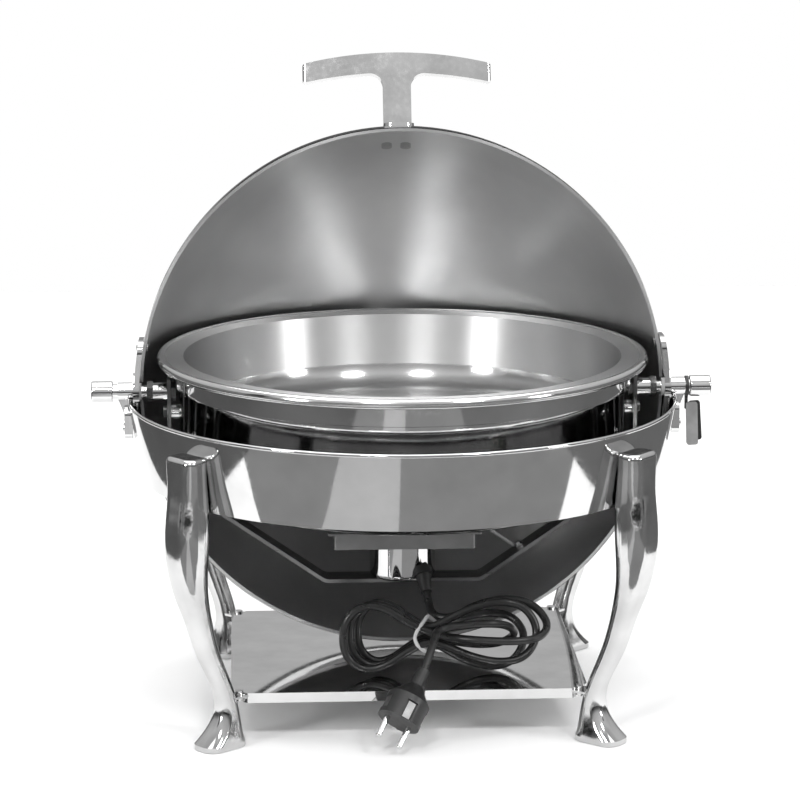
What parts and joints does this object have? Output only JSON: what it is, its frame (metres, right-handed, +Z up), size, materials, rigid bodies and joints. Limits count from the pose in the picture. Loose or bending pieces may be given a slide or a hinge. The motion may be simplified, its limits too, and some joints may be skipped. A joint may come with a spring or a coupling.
{
  "type": "roll top chafer",
  "caption": "Round roll-top chafer with a hinged hemispherical lid, a food pan over an electric water pan, a ring frame on cast legs, a shelf and a plug-in lead.",
  "frame": {"origin": "centre of the footprint, on the floor", "axes": "+Z up, -Y to the serving side, +X to the right of someone facing it from the front"},
  "size_m": [0.506, 0.4478, 0.5258],
  "materials": {
    "polished_steel": "mirror polish",
    "pan_steel": "satin inside, polished outside",
    "cast_metal": "cast and polished",
    "turned_steel": "turned and polished",
    "sheet_steel": "mill finish",
    "fasteners": "polished",
    "aluminium": "cast",
    "insulation": "fibre",
    "nylon": "moulded",
    "plug_plastic": "moulded",
    "cord_sheath": "extruded, slight sheen",
    "white_tie": "matt",
    "earth_wire": "extruded",
    "pin_metal": "plated",
    "grey_tag": "card",
    "black_tag": "card"
  },
  "bodies": {
    "frame": {"apron_ring": "polished_steel", "leg_front_left": "cast_metal", "leg_front_right": "cast_metal", "leg_rear_left": "cast_metal", "leg_rear_right": "cast_metal", "leg_rivets": "fasteners", "shelf": "polished_steel", "shelf_screws": "fasteners", "water_pan": "polished_steel", "carrier_strap": "sheet_steel", "pan_bolts": "fasteners", "shaft_nuts": "fasteners", "pivot_shaft_left": "turned_steel", "pivot_shaft_right": "turned_steel", "pivot_bracket_left": "turned_steel", "pivot_bracket_right": "turned_steel", "pivot_knob_left": "turned_steel", "pivot_knob_right": "turned_steel", "bracket_rivets": "fasteners", "heating_plate": "aluminium", "insulation_pad": "insulation", "heater_spacers": "fasteners", "heater_mount": "sheet_steel", "heater_box": "sheet_steel", "terminal_cup": "polished_steel", "terminal_block": "nylon", "cord_gland": "plug_plastic", "earth_lead": "earth_wire", "earth_screw": "fasteners", "cord_lead": "cord_sheath", "cord_hank": "cord_sheath", "cord_tie": "white_tie", "cord_tail": "cord_sheath", "plug_body": "plug_plastic", "plug_pins": "pin_metal", "plug_earth_clips": "pin_metal"},
    "lid": {"lid_dome": "pan_steel", "lid_handle": "cast_metal", "hinge_plate_left": "polished_steel", "hinge_plate_right": "polished_steel", "hinge_bush_left": "nylon", "hinge_bush_right": "nylon", "hinge_screws": "fasteners", "handle_screws": "fasteners"},
    "food_pan": {"food_pan": "pan_steel"},
    "tag": {"tag_loop": "black_tag", "tag_leaf_front": "grey_tag", "tag_leaf_back": "black_tag"}
  },
  "joints": [
    {"name": "lid_hinge", "type": "hinge", "parent": "frame", "child": "lid", "pos_m": [0, 0, 0.26], "axis": [1, 0, 0], "range_deg": [0, 90]},
    {"name": "food_lift", "type": "slide", "parent": "frame", "child": "food_pan", "axis": [0, 0, 1], "range_m": [0, 0.035]},
    {"name": "tag_swing", "type": "hinge", "parent": "frame", "child": "tag", "pos_m": [0.2335, 0, 0.26], "axis": [1, 0, 0], "range_deg": [-60, 60]}
  ]
}
